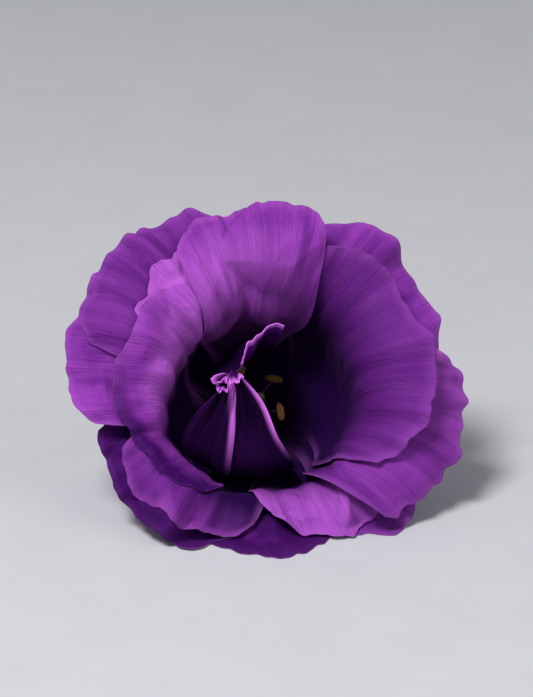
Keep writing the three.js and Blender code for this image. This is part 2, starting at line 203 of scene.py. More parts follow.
outerPetals = {
    "petal_outer_4": petal(
        turn=260, reach=48.8, halfFoot=20, halfWidth=44, cornerLow=0.2, cornerHigh=0.34,
        ruffle=1.6, waves=2.3, phase=60, rise=-1.3, open=-9, lip=5, dark=6, tone=-1),
    "petal_outer_3": petal(
        turn=222, reach=51, halfFoot=20, halfWidth=42, cornerLow=0.16, cornerHigh=0.2,
        ruffle=1.6, waves=1.8, phase=20, rise=-1.3, open=-12, lip=6, tone=-1),
    "petal_outer_2": petal(
        turn=160, reach=54.5, halfFoot=20, halfWidth=40, cornerLow=0.18, cornerHigh=0.26,
        ruffle=1.7, waves=2.4, phase=120, rise=-1.3, open=-5.5),
    "petal_outer_6": petal(
        turn=37, reach=53, halfFoot=34, halfWidth=50, cornerLow=0.18, cornerHigh=0.3,
        ruffle=1.5, waves=2.6, phase=300, rise=-1.3, open=-6, tone=-0.2),
    "petal_outer_5": petal(
        turn=317, reach=52.8, halfFoot=27, halfWidth=44, cornerLow=0.28, cornerHigh=0.18,
        skew=0.05, ruffle=1.6, waves=2.6, phase=200, rise=-1.3, open=-5, tone=-0.5),
    "petal_outer_1": petal(
        turn=132, reach=53, halfFoot=18, halfWidth=42, cornerLow=0.24, cornerHigh=0.16,
        ruffle=1.6, waves=2.2, phase=20, rise=-1.3, open=-5.5, tone=-0.4),
}
innerPetals = {
    "petal_inner_5": petal(
        turn=230, reach=47.5, halfFoot=22, halfWidth=40, cornerLow=0.14, cornerHigh=0.3,
        ruffle=1.2, waves=1.8, phase=30, open=-17, lip=11, dark=6, sideDark=12, tone=-0.4),
    "petal_inner_6": petal(
        turn=294, reach=47, halfFoot=22, halfWidth=40, cornerLow=0.5, cornerHigh=0.2,
        ruffle=1.6, waves=2, phase=170, open=-10, lip=5, sway=-1.5, dark=2, tone=0.5),
    "petal_inner_7": petal(
        turn=336, reach=53, halfFoot=20, halfWidth=47, cornerLow=0.22, cornerHigh=0.18,
        ruffle=1, waves=1.6, phase=90, frill=1.1, lip=-3, sway=-2.5, dark=3, tone=0.2,
        sideTone=0.6),
    "petal_inner_3": petal(
        turn=126, reach=42.5, halfFoot=24, halfWidth=40, cornerLow=0.18, cornerHigh=0.2,
        ruffle=1.1, waves=1.6, phase=80, frill=1.2, open=9, lip=-18, dark=-5, tone=1),
    "petal_inner_4": petal(
        turn=180, reach=41.5, halfFoot=20, halfWidth=64, halfTip=68, cornerLow=0.14,
        cornerHigh=0.2, skew=0.03, ruffle=0.8, waves=2.2, phase=240, frill=1.1, open=8,
        lip=-19, sway=-4, gather=-5, dark=-4, tone=0.6, sideTone=-1.2, rimTone=-1.3),
    "petal_inner_1": petal(
        turn=7, reach=44.6, halfFoot=26, halfWidth=72, cornerLow=0.2, cornerHigh=0.16,
        ruffle=0.7, waves=1.8, phase=150, frill=1.3, open=3, lip=-1, dark=6, tone=-0.5),
    "petal_inner_2": petal(
        turn=90, reach=48, halfFoot=26, halfWidth=42, cornerLow=0.38, cornerHigh=0.24,
        ruffle=1.1, waves=1.6, phase=10, frill=1.2, open=3, lip=-7, dark=-10, tone=0.5,
        sideTone=0.2, rimTone=-0.5),
}
tentPetals = {
    "petal_heart_2": petal(
        turn=235, reach=44.1, halfFoot=2, halfWidth=24, halfTip=34, widest=0.8,
        cornerLow=0.05, cornerHigh=0.01, ruffle=0.3, waves=1.2, phase=90, frill=0.6,
        tone=-0.2, plainSide=8),
    "petal_heart_1": petal(
        turn=262, reach=44.2, halfFoot=40, halfWidth=36, halfTip=64, widest=0.66,
        cornerLow=0.02, cornerHigh=0.02, ruffle=0.3, waves=1.2, phase=90, frill=0.6,
        open=1, tone=-0.3),
}
foldPetals = {
    "petal_heart_3": petal(
        turn=106, reach=31, halfFoot=40, halfWidth=42, halfTip=50, cornerLow=0.02,
        cornerHigh=0.02, ruffle=0, waves=1.2, phase=90, frill=0.15, open=5, lip=-5,
        sway=-1.2, gather=8.6, plainSide=8),
}

blades = {
    "thickness": 0.34,
    "marginThickness": 0.16,
    "thinWidth": 3,         # from the margin to the full thickness
    "pitch": 0.9,           # between the middles of two blades that overlap
    "edgePitch": 0.6,       # of that pitch along the upper blade's margin
    "edgeWidth": 4,
    "edgeAllowance": 3.4,   # past a blade's outline, where the next one still clears it
    "edgeFall": 0.6,        # and how fast it may sink beyond that
    "footAllowance": 0.4,
    "footFall": 4,
    "footLength": 15,
    "maxSink": 6,
    "blendWidth": 1.4,
    "pressedDepth": 4,      # over which the blades near the floor spread out
    "steepest": 0.15,       # rise per mm of height below which the floor doesn't lift a blade
    "noFloor": -99,         # a height so low that it lifts no blade
    "tipPlace": 1.01,       # of the reach, where halfTip is taken
    "cornerFall": 3,        # the power with which the rim falls off to a corner
    "cornerRounding": 0.2,  # of the width, that the rim is narrower than the petal
    "cornerPower": 5,
    "rimCrowding": 0.4,     # how much closer the rows of points are at the rim
    "swerve": 0.04,         # of a blade's width, by which its sides bend to and fro
    "swerveWaves": 7,
    "frillWaves": [(2.6, 0.9), (4.7, 0.8), (7.6, 0.55), (12, 0.36), (20, 0.2), (33, 0.1)],
    "frillCount": (0.85, 1.15),     # of the number of those waves, least and most
    "frillSize": (0.6, 1.1),        # and of their size
    "unevenRim": 0.014,     # of the reach, by which the rim comes and goes
    "unevenWaves": 2.1,
    "unevenPhase": 1,
    "lipSpread": 0.25,      # by which the lip is more and less across a blade
    "lipWaves": 2.3,
    "lumps": 0.5,           # height of the soft lumps all over a blade
    "lumpCount": 5,
    "lumpsAcross": (2.5, 7),
    "lumpsAlong": (3, 9),
    "pleats": 0.3,          # height of the fine folds that fan out to the margin
    "pleatCount": 4,
    "pleatsAcross": (14, 34),
    "pleatsAlong": (-2, 2),
    "steps": 120,
    "seed": 5,
}
# the power of the way along a blade with which each of its bends grows
growth = {"open": 2, "lip": 6, "sides": 1.5, "ruffle": 3, "frill": 7, "pleats": 2.5}


def frillWaves(name):
    # the fine waves of one petal's margin, as (waves across, size, phase)
    chance = np.random.default_rng([blades["seed"], *name.encode()])
    return [(n * chance.uniform(*blades["frillCount"]),
             size * chance.uniform(*blades["frillSize"]),
             chance.uniform(0, 2 * math.pi)) for n, size in blades["frillWaves"]]


def softWaves(chance, count, across, along, u, t):
    # the sum of a few waves that run over a blade at random slants
    return sum(np.sin(chance.uniform(*across) * u + chance.uniform(*along) * t
                      + chance.uniform(0, 2 * math.pi)) for _ in range(count))


def rimFactor(name, values, u):
    # how long a petal is at u, from -1 at its low side to 1 at its high side
    corner = np.where(u < 0, values["cornerLow"], values["cornerHigh"])
    uneven = sum(size * np.sin(n * u * blades["unevenWaves"] + phase + blades["unevenPhase"])
                 for n, size, phase in frillWaves(name))
    return (1 - corner * np.abs(u) ** blades["cornerFall"] + values["skew"] * u
            + blades["unevenRim"] * values["frill"] * uneven)


def halfAngle(values, s):
    along = s / values["reach"]
    widest = values["widest"]
    wide = lerp(values["halfFoot"], values["halfWidth"], smooth(along / widest))
    change = values["halfTip"] - values["halfWidth"]
    beyond = (along - widest) / (blades["tipPlace"] - widest)
    phase = math.radians(3 * values["turn"])        # so that no two petals swerve alike
    swerve = 1 + blades["swerve"] * np.sin(blades["swerveWaves"] * along + phase)
    return np.radians(swerve * (wide + change * smooth(beyond)))


def freeHeight(name, values, u, t):
    # how far a petal stands off its cup at u across it and t along it
    phase = math.radians(values["phase"])
    broad = np.sin(math.pi * values["waves"] * u + phase)
    sides = values["sway"] * u + values["gather"] * np.sin(math.pi * (u + 1) / 4)
    fine = sum(size * np.sin(n * u * math.pi / 2 + turn) for n, size, turn in frillWaves(name))
    lip = values["lip"] * (1 + blades["lipSpread"] * np.sin(blades["lipWaves"] * u + phase))
    height = (values["rise"] + values["open"] * t ** growth["open"] + lip * t ** growth["lip"]
              + sides * t ** growth["sides"])
    chance = np.random.default_rng([blades["seed"], 1, *name.encode()])
    lumps = softWaves(chance, blades["lumpCount"], blades["lumpsAcross"],
                      blades["lumpsAlong"], u, t)
    height = height + blades["lumps"] * lumps * smooth(2.5 * t - 0.8)     # not at the foot
    pleats = softWaves(chance, blades["pleatCount"], blades["pleatsAcross"],
                       blades["pleatsAlong"], u, t)
    height = height + blades["pleats"] * values["frill"] * pleats * t ** growth["pleats"]
    return (height + values["ruffle"] * t ** growth["ruffle"] * broad
            + values["frill"] * t ** growth["frill"] * fine)


def floorLimit(cup, phi, s):
    # the least height that keeps a blade over the floor, and the pitch of the blades there
    low = floorGap(cupPoint(cup, phi, s, 0 * s))
    gain = floorGap(cupPoint(cup, phi, s, 1 + 0 * s)) - low
    steady = np.maximum(gain, blades["steepest"])
    least = (blades["thickness"] / 2 - low) / steady
    pressed = smooth((least + blades["pressedDepth"]) / blades["pressedDepth"])
    pitch = blades["pitch"] * lerp(1, 1 / steady, pressed)
    tooSteep = gain < blades["steepest"]
    return np.where(tooSteep, blades["noFloor"], least), np.where(tooSteep, blades["pitch"], pitch)


def layerHeight(whorl, name, cup, phi, s):
    # each blade keeps its pitch over those beneath it, so no two of them ever cross
    grown = smooth(s / blades["footLength"])
    allowance = lerp(blades["footAllowance"], blades["edgeAllowance"], grown)
    fall = lerp(blades["footFall"], blades["edgeFall"], grown)
    least, pitch = blades["noFloor"], blades["pitch"]
    if cup == "cup":
        least, pitch = floorLimit(cup, phi, s)
    below = []
    for other, values in whorl.items():
        centre = math.radians(values["turn"])
        away = np.arctan2(np.sin(phi - centre), np.cos(phi - centre))
        half = halfAngle(values, s)
        u = np.clip(away / half, -1, 1)
        reach = values["reach"] * rimFactor(other, values, u)
        aside = (np.abs(away) - half) * cups[cup](s)[0]
        inset = np.minimum(-aside, reach - s)
        close = lerp(blades["edgePitch"], 1, smooth(inset / blades["edgeWidth"]))
        height = freeHeight(other, values, u, np.clip(s / reach, 0, 1))
        height = softMax(height, least, blades["blendWidth"])
        for lower, beyond in below:
            sink = fall * np.maximum(0, beyond - allowance)
            raised = softMax(height, lower + pitch * close - sink, blades["blendWidth"])
            height = np.where(sink < blades["maxSink"], raised, height)
        if other == name:
            return height
        below.append((height, np.hypot(np.maximum(0, aside), np.maximum(0, s - reach))))


def petalGrid(whorl, name, cup):
    # the middle of a petal's blade, and what its material needs to know of each point
    values = whorl[name]
    steps = blades["steps"]
    crowding = blades["rimCrowding"]
    across, along = np.meshgrid(np.linspace(-1, 1, steps + 1), np.linspace(0, 1, steps + 1))
    t = along * (1 + crowding - crowding * along)
    u = across * (1 - blades["cornerRounding"] * t ** blades["cornerPower"])
    s = values["reach"] * rimFactor(name, values, u) * t
    phi = math.radians(values["turn"]) + u * halfAngle(values, s)
    middle = layDown(cupPoint(cup, phi, s, layerHeight(whorl, name, cup, phi, s))) / mm
    side = (1 - np.abs(across)) * halfAngle(values, s) * cups[cup](s)[0]
    side = side + values["plainSide"] * np.maximum(0, -across)
    margin = np.minimum(side, (1 - t) * values["reach"])
    highSide = smooth(0.4 + 0.6 * across)   # comes in from a sixth of the way across
    tip = smooth(4 * t - 3)                 # and this over the last quarter of the length
    # painted shade: how much further up the petal the throat's colour reaches
    dark = values["dark"] + values["sideDark"] * highSide
    # painted light and shade over the petal, lighter or darker on one side and at the tip
    tone = values["tone"] + values["sideTone"] * across + values["rimTone"] * tip
    return middle, np.stack([u, s - dark, margin], axis=-1), tone


def edgeLoop(rows, columns):
    # the numbers of a grid's points all the way round its edge
    return (list(range(columns - 1))
            + [row * columns + columns - 1 for row in range(rows - 1)]
            + [(rows - 1) * columns + column for column in range(columns - 1, 0, -1)]
            + [row * columns for row in range(rows - 1, 0, -1)])


def bladeMesh(name, middle, place, tone):
    # place holds each point's place across and along the petal and its distance from the margin
    rows, columns, _ = middle.shape
    normal = unit(np.cross(np.gradient(middle, axis=0), np.gradient(middle, axis=1)))
    edge = smooth(place[..., 2] / blades["thinWidth"])
    half = lerp(blades["marginThickness"], blades["thickness"], edge)[..., None] / 2
    outside = middle - half * normal
    inside = middle + half * normal
    points = aboveFloor(np.concatenate([outside.reshape(-1, 3), inside.reshape(-1, 3)]))
    count = rows * columns
    corner = (np.arange(rows - 1)[:, None] * columns + np.arange(columns - 1)).ravel()
    quads = np.stack([corner, corner + 1, corner + columns + 1, corner + columns], axis=1)
    loop = np.array(edgeLoop(rows, columns))
    following = np.roll(loop, -1)
    strip = np.stack([following, loop, loop + count, following + count], axis=1)
    faces = np.concatenate([quads, quads[:, ::-1] + count, strip])
    mesh = bpy.data.meshes.new(name)
    mesh.from_pydata(points * mm, [], faces.tolist())
    mesh.shade_smooth()
    place = place.reshape(-1, 3)
    mark(mesh, "petalPlace", "FLOAT_VECTOR", "vector", np.concatenate([place, place]))
    mark(mesh, "petalSide", "FLOAT", "value", np.repeat([0.0, 1.0], count))
    # painted light and shade, for the material to read
    mark(mesh, "petalTone", "FLOAT", "value", np.tile(tone.ravel(), 2))
    return mesh


def ringMesh(name, rings, alongs):
    # closes rings of points, from one end to the other, into a body
    count, sides, _ = rings.shape
    points = aboveFloor(np.concatenate([rings.reshape(-1, 3), rings[[0, -1]].mean(axis=1)]))
    here = np.arange(sides)
    after = np.roll(here, -1)
    row = np.arange(count - 1)[:, None] * sides
    quads = np.stack([row + here, row + after, row + sides + after, row + sides + here], axis=-1)
    firstEnd = count * sides
    lastEnd = firstEnd + 1
    lastRow = firstEnd - sides
    pairs = list(zip(here.tolist(), after.tolist()))
    faces = quads.reshape(-1, 4).tolist()
    faces += [(firstEnd, b, a) for a, b in pairs]
    faces += [(lastEnd, lastRow + a, lastRow + b) for a, b in pairs]
    mesh = bpy.data.meshes.new(name)
    mesh.from_pydata(points * mm, [], faces)
    mesh.shade_smooth()
    angle = ringAngles(sides)
    spokes = np.tile(np.stack([np.cos(angle), np.sin(angle)], axis=-1), (count, 1))
    place = np.concatenate([np.repeat(alongs, sides)[:, None], spokes], axis=1)
    ends = np.array([[alongs[0], 0, 0], [alongs[-1], 0, 0]])
    mark(mesh, "bodyPlace", "FLOAT_VECTOR", "vector", np.concatenate([place, ends]))
    return mesh


def tube(name, path, radii, up):
    # a rod along a path, with a row of radii for each ring
    along = unit(np.gradient(path, axis=0))
    first = unit(up - (along @ up)[:, None] * along)
    second = np.cross(along, first)
    angle = ringAngles(radii.shape[1])[:, None]
    spokes = np.cos(angle) * first[:, None] + np.sin(angle) * second[:, None]
    lengths = np.linalg.norm(np.diff(path, axis=0), axis=-1)
    alongs = np.concatenate([[0], np.cumsum(lengths)])
    return ringMesh(name, path[:, None] + radii[..., None] * spokes, alongs)


# Materials.

class Signal:
    # a number on its way through a material, so that sums can be written as sums
    def __init__(self, finish, socket):
        self.finish = finish
        self.socket = socket

    def combine(self, operation, first, second):
        return self.finish.node("ShaderNodeMath", {"operation": operation}, {0: first, 1: second})

    def __add__(self, other):
        return self.combine("ADD", self, other)

    def __radd__(self, other):
        return self.combine("ADD", other, self)

    def __sub__(self, other):
        return self.combine("SUBTRACT", self, other)

    def __rsub__(self, other):
        return self.combine("SUBTRACT", other, self)

    def __mul__(self, other):
        return self.combine("MULTIPLY", self, other)

    def __rmul__(self, other):
        return self.combine("MULTIPLY", other, self)

    def __truediv__(self, other):
        return self.combine("DIVIDE", self, other)

    def __rtruediv__(self, other):
        return self.combine("DIVIDE", other, self)

    def __abs__(self):
        return self.finish.node("ShaderNodeMath", {"operation": "ABSOLUTE"}, {0: self})


class Finish:
    # a material in the making
    def __init__(self, name):
        self.material = bpy.data.materials.new(name)
        self.material.use_nodes = True
        self.tree = self.material.node_tree
        self.tree.nodes.clear()

    def node(self, kind, settings, inputs, output=0):
        made = self.tree.nodes.new(kind)
        for key, value in settings.items():
            setattr(made, key, value)
        for key, value in inputs.items():
            if isinstance(value, Signal):
                self.tree.links.new(value.socket, made.inputs[key])
            else:
                made.inputs[key].default_value = value
        return Signal(self, made.outputs[output]) if made.outputs else None

    def attribute(self, name, output):
        return self.node("ShaderNodeAttribute", {"attribute_name": name}, {}, output)

    def vector(self, name):
        return self.attribute(name, "Vector")

    def number(self, name):
        return self.attribute(name, "Fac")

    def split(self, vector):
        return [self.node("ShaderNodeSeparateXYZ", {}, {0: vector}, k) for k in range(3)]

    def point(self, x, y, z):
        return self.node("ShaderNodeCombineXYZ", {}, {0: x, 1: y, 2: z})

    def step(self, value, low, high):
        # rises smoothly from 0 at low to 1 at high
        settings = {"interpolation_type": "SMOOTHSTEP"}
        inputs = {0: value, 1: low, 2: high, 3: 0.0, 4: 1.0}
        return self.node("ShaderNodeMapRange", settings, inputs)

    def noise(self, vector, scale, detail=2, roughness=0.5):
        inputs = {"Vector": vector, "Scale": scale, "Detail": detail, "Roughness": roughness}
        return self.node("ShaderNodeTexNoise", {}, inputs)

    def mix(self, low, high, factor):
        return self.node("ShaderNodeMix", {"data_type": "RGBA"}, {0: factor, 6: low, 7: high}, 2)

    def bump(self, height, distance):
        return self.node("ShaderNodeBump", {}, {"Height": height, "Distance": distance})

    def principled(self, inputs):
        return self.node("ShaderNodeBsdfPrincipled", {}, inputs)

    def done(self, shader):
        self.node("ShaderNodeOutputMaterial", {}, {"Surface": shader})
        return self.material


petalLooks = {
    "lit": linear(150, 62, 176),
    "deep": linear(104, 34, 134),
    "streakSpan": (0.25, 0.75),     # of the streaks' noise, from deep to lit
    "shade": linear(58, 6, 86),     # painted shade, of a petal whose painted light is -1
    "bright": linear(192, 98, 214),     # painted highlight, and 1
    "cloudSpan": (0.5, 0.72),
    "cloudStrength": 0.5,
    "vein": linear(88, 22, 116),
    "veinWidth": 0.09,
    "veinStrength": 0.16,
    # darker pigment toward the foot, deepened into painted shade of the recess
    "throat": linear(28, 0, 54),
    "throatSpan": (17, 37),         # of the length from the foot, where its colour ends
    "back": linear(166, 104, 190),
    "backFoot": linear(168, 182, 128),
    "backSpan": (3, 20),
    "backVeinStrength": 0.25,
    "bandWidth": 8,                 # of the soft painted highlight inside the margin
    "bandStrength": 0.12,
    # a margin paler than the petal, lightened further as painted highlight, and none on petals in
    # painted shade
    "rim": linear(190, 100, 210),
    "rimInset": 0.1,
    "rimWidth": 2.6,
    "rimStrength": 0.25,
    "rimSpan": (0, 10),             # of the length from the foot, where the rim begins
    "rimTones": (-1.4, 0),          # of a petal's painted light, from no pale rim with painted highlight to all of it
    "translucent": 0.25,
    "glow": linear(150, 62, 176),
    "roughness": 0.5,
    "crepeRoughness": 0.25,
    "streakRelief": 0.5,
    "crepeRelief": 0.7,
    "veinRelief": 0.16,
    "relief": 0.28,                 # height of all of it, in millimetres
    "gloss": 0.08,                  # low, as a petal's skin is a velvet of tiny cones
    "sheen": 0.04,
    "sheenRoughness": 0.45,
    "sheenTint": linear(206, 130, 232),
}
# the young petals deep in the throat: their colours are painted shade, with painted highlight
# along their margins
heartLooks = dict(
    petalLooks,
    lit=linear(84, 18, 112),
    deep=linear(24, 0, 42),
    shade=linear(12, 0, 24),
    vein=linear(16, 0, 30),
    throat=linear(10, 0, 22),
    throatSpan=(8, 26),
    back=linear(34, 4, 54),
    backFoot=linear(12, 0, 24),
    # a wide painted highlight along the margins
    bandWidth=3,
    bandStrength=0.7,
    # painted highlight along the young petals' margins
    rim=linear(238, 126, 255),
    rimWidth=1.3,
    rimStrength=1,
    rimSpan=(23, 34),
    translucent=0.06,
    glow=linear(84, 18, 112),
    gloss=0.04,
    sheen=0.01,
)
# how fast each pattern changes across a petal and in each millimetre along it, and its noise
petalGrain = {
    "streaks": {"across": 9, "along": 0.035, "layer": 7, "scale": 1, "detail": 3,
                "roughness": 0.5},
    "veins": {"across": 34, "along": 0.045, "layer": 4, "scale": 1, "detail": 2,
              "roughness": 0.5},
    "cloud": {"across": 3, "along": 0.12, "layer": 5, "scale": 1, "detail": 3,
              "roughness": 0.5},
    "crepe": {"across": 26, "along": 0.7, "layer": 1, "scale": 1.6, "detail": 4,
              "roughness": 0.6},
}


def petalFinish(name, looks):
    finish = Finish(name)
    across, along, margin = finish.split(finish.vector("petalPlace"))
    side = finish.number("petalSide")
    tone = finish.number("petalTone")

    def pattern(kind):
        grain = petalGrain[kind]
        fan = finish.point(across * grain["across"], along * grain["along"], grain["layer"])
        return finish.noise(fan, grain["scale"], grain["detail"], grain["roughness"])

    streaks = pattern("streaks")
    veins = 1 - finish.step(abs(pattern("veins") - 0.5), 0.0, looks["veinWidth"])
    clouds = finish.step(pattern("cloud"), *looks["cloudSpan"]) * looks["cloudStrength"]
    crepe = pattern("crepe")
    grown = finish.step(along, *looks["throatSpan"])
    # the pale margin with its painted highlight, which fades on petals in painted shade
    rim = 1 - finish.step(margin, looks["rimInset"], looks["rimWidth"])
    rim = rim * finish.step(tone, *looks["rimTones"]) * finish.step(along, *looks["rimSpan"])
    # painted highlight: lighter towards the margin
    band = (1 - finish.step(margin, 0, looks["bandWidth"])) * looks["bandStrength"]
    lit = finish.step(streaks + band, *looks["streakSpan"])
    colour = finish.mix(looks["deep"], looks["lit"], lit)
    # painted shade and painted highlight, as much as the petal's painted light says
    colour = finish.mix(colour, looks["shade"], finish.step(tone, 0, -1))
    colour = finish.mix(colour, looks["bright"], finish.step(tone, 0, 1))
    colour = finish.mix(colour, looks["deep"], clouds)
    colour = finish.mix(colour, looks["vein"], veins * looks["veinStrength"])
    # the throat: darker pigment with painted shade
    colour = finish.mix(looks["throat"], colour, grown)
    back = finish.mix(looks["backFoot"], looks["back"], finish.step(along, *looks["backSpan"]))
    back = finish.mix(back, looks["vein"], veins * looks["backVeinStrength"])
    colour = finish.mix(back, colour, side)
    colour = finish.mix(colour, looks["rim"], rim * looks["rimStrength"])
    relief = (streaks * looks["streakRelief"] + crepe * looks["crepeRelief"]
              - veins * looks["veinRelief"])
    normal = finish.bump(relief, looks["relief"] * mm)
    surface = finish.principled({
        "Base Color": colour,
        "Roughness": looks["roughness"] + crepe * looks["crepeRoughness"],
        "Normal": normal,
        "Specular IOR Level": looks["gloss"],
        "Sheen Weight": looks["sheen"],
        "Sheen Roughness": looks["sheenRoughness"],
        "Sheen Tint": looks["sheenTint"],
    })
    glow = finish.node("ShaderNodeBsdfTranslucent", {}, {"Color": looks["glow"], "Normal": normal})
    thin = grown * looks["translucent"]
    return finish.done(finish.node("ShaderNodeMixShader", {}, {0: thin, 1: surface, 2: glow}))


def addPiece(name, mesh, material, node):
    mesh.materials.append(material)
    piece = bpy.data.objects.new(name, mesh)
    bpy.context.collection.objects.link(piece)
    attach(piece, "root")
    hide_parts(node)


def makePetals(whorl, cup, material):
    streakShift = 4         # from petal to petal, so that no two share their streaks
    for number, name in enumerate(whorl):
        middle, place, tone = petalGrid(whorl, name, cup)
        place = place + (streakShift * number, 0, 0)
        addPiece("fine_" + name, bladeMesh(name, middle, place, tone), material, name)
    print("petals made:", ", ".join(whorl))


petalMaterial = petalFinish("petal skin", petalLooks)
heartMaterial = petalFinish("young petal skin", heartLooks)
makePetals({**outerPetals, **innerPetals}, "cup", petalMaterial)
makePetals(tentPetals, "tent", heartMaterial)
makePetals(foldPetals, "fold", heartMaterial)


# Stamens and pistil.

stamens = {
    "count": 5,
    "firstTurn": -31,
    "foot": (1.8, 0.5),     # radius and height
    "bend": (2, 7.5),
    "top": (5.4, 12.5),
    "thickness": 0.36,
    "taper": 0.6,           # of the thickness at the top
    "filamentSides": 16,
    "antherLength": 3.5,
    "antherWidth": 1.35,
    "antherTurn": 35,
    "antherDroop": 0.35,
    "antherBluntness": 2.6,
    "antherSides": 24,
    "groove": 0.3,
    "grooveSharpness": 3,
    "unevenness": 0.04,
    "steps": 24,
    "seed": 11,
}
pistil = {
    "outline": [
        (0.5, 0.95), (1.2, 1.15), (2.8, 1.32), (4.4, 1.15), (5.6, 0.85), (7, 0.58), (14, 0.5)],
    "blurSteps": 5,         # over which the outline is smoothed
    "furrow": 0.06,
    "furrowSharpness": 6,
    "furrowTop": 7,         # where the ovary ends and the style begins
    "furrowFade": 2,
    "steps": 60,
    "lobeHeight": 13.9,
    "lobeLength": 2.3,
    "lobeWidth": 0.78,
    "lobeApart": 1.05,
    "lobeCurl": 0.45,
    "lobeSteps": 20,
    "unevenness": 0.05,
    "sides": 24,
    "seed": 12,
}
# the anthers, pistil and stigma are darkened from their own yellow and green: painted shade of the
# throat
antherLooks = {
    "base": linear(122, 76, 20),
    "mottle": linear(70, 38, 12),
    "end": linear(122, 76, 20),
    "scale": 9,             # of the grain
    "stripes": 1,           # how much the grain is drawn out lengthwise
    "roughness": 0.85,
    "relief": 0.25,
    "coat": 0,
}
filamentLooks = dict(
    antherLooks, base=linear(84, 56, 96), mottle=linear(50, 24, 66), end=linear(84, 56, 96),
    scale=3, stripes=2, roughness=0.5, relief=0.05)
pistilLooks = dict(
    antherLooks, base=linear(84, 100, 44), mottle=linear(56, 74, 30), end=linear(56, 74, 30),
    scale=4, stripes=2, roughness=0.5, relief=0.06)
stigmaLooks = dict(
    antherLooks, base=linear(104, 106, 52), mottle=linear(78, 84, 36), end=linear(104, 106, 52),
    scale=14, stripes=1, roughness=0.9, relief=0.3)
bodyGrain = {
    "mottleSize": 4,        # times as large as the grain
    "mottleDetail": 4,
    "mottleRoughness": 0.6,
    "mottleSpan": (0.35, 0.7),
    "mottleGloss": 0.15,
    "grainDetail": 3,
    "grainRoughness": 0.7,
    "skinSpan": (0.2, 0.9),     # squared share of the radius, from a cut end to the skin
    "glow": 0.1,
    "glowDepth": (0.6 * mm, 0.8 * mm, 0.4 * mm),
}


def bodyFinish(name, looks):
    finish = Finish(name)
    along, x, y = finish.split(finish.vector("bodyPlace"))
    stripes = looks["stripes"]
    stretched = finish.point(x * stripes, y * stripes, along / stripes)
    mottle = finish.noise(stretched, looks["scale"] / bodyGrain["mottleSize"],
                          bodyGrain["mottleDetail"], bodyGrain["mottleRoughness"])
    spots = finish.step(mottle, *bodyGrain["mottleSpan"])
    colour = finish.mix(looks["base"], looks["mottle"], spots)
    skin = finish.step(x * x + y * y, *bodyGrain["skinSpan"])
    colour = finish.mix(looks["end"], colour, skin)
    grain = finish.noise(stretched, looks["scale"], bodyGrain["grainDetail"],
                         bodyGrain["grainRoughness"])
    return finish.done(finish.principled({
        "Base Color": colour,
        "Roughness": looks["roughness"] - mottle * bodyGrain["mottleGloss"],
        "Normal": finish.bump(grain, looks["relief"] * mm),
        "Coat Weight": looks["coat"],
        "Subsurface Weight": bodyGrain["glow"],
        "Subsurface Radius": bodyGrain["glowDepth"],
    }))


def bezier(points, steps):
    # a curve through the first and last of its three or four points, pulled by the others
    t = np.linspace(0, 1, steps + 1)[:, None]
    points = [np.asarray(point, float) for point in points]
    while len(points) > 1:
        points = [lerp(a, b, t) for a, b in zip(points, points[1:])]
    return points[0]


def lobedPath(centre, direction, up, length, droop, steps):
    # a short path along a lobe, whose ends droop
    t = np.linspace(-1, 1, steps + 1)[:, None]
    return centre + t * length / 2 * direction - droop * t ** 2 * up


def belly(steps, power):
    # how wide a lobe is along its length, with round ends
    t = np.linspace(-1, 1, steps + 1)[:, None]
    least = 0.02            # the square of the width at the very ends
    return np.sqrt(np.maximum(least, 1 - np.abs(t) ** power))


def makeStamens(antherMaterial, filamentMaterial):
    steps = stamens["steps"]
    sides = stamens["antherSides"]
    chance = np.random.default_rng(stamens["seed"])
    axis = np.array([0, 0, 1.0])
    filamentUp = flowerAxis() * 0.2 + right         # no filament runs this way
    for number in range(stamens["count"]):
        turn = math.radians(stamens["firstTurn"] + number * 360 / stamens["count"])
        out = np.array([math.cos(turn), math.sin(turn), 0])
        foot, bend, top = [radius * out + height * axis for radius, height in
                           (stamens["foot"], stamens["bend"], stamens["top"])]
        node = "stamen_" + str(number + 1)
        path = bezier([foot, bend, top], steps)
        radii = stamens["thickness"] * np.linspace(1, stamens["taper"], steps + 1)
        radii = np.repeat(radii[:, None], stamens["filamentSides"], axis=1)
        name = "fine_" + node + "_filament"
        mesh = tube(name, layDown(path) / mm, radii, filamentUp)
        addPiece(name, mesh, filamentMaterial, node)
        aside = turn + math.radians(stamens["antherTurn"])
        direction = np.array([-math.sin(aside), math.cos(aside), 0])
        path = lobedPath(top, direction, axis, stamens["antherLength"], stamens["antherDroop"],
                         steps)
        ridge = np.abs(np.cos(ringAngles(sides))) ** stamens["grooveSharpness"]
        section = 1 - stamens["groove"] * ridge
        uneven = 1 + stamens["unevenness"] * chance.standard_normal((steps + 1, sides))
        wide = belly(steps, stamens["antherBluntness"])
        radii = stamens["antherWidth"] / 2 * wide * section * uneven
        name = "fine_" + node + "_anther"
        mesh = tube(name, layDown(path) / mm, radii, flowerAxis())
        addPiece(name, mesh, antherMaterial, node)


def pistilRadii(height):
    # the smoothed outline, with furrows along the ovary
    table = np.array(pistil["outline"])
    radii = np.interp(height, table[:, 0], table[:, 1])
    blur = pistil["blurSteps"]
    radii = np.convolve(np.pad(radii, blur // 2, "edge"), np.ones(blur) / blur, "valid")
    fade = smooth((pistil["furrowTop"] - height) / pistil["furrowFade"])[:, None]
    ridge = np.abs(np.cos(ringAngles(pistil["sides"]))) ** pistil["furrowSharpness"]
    return radii[:, None] * (1 - pistil["furrow"] * ridge * fade)


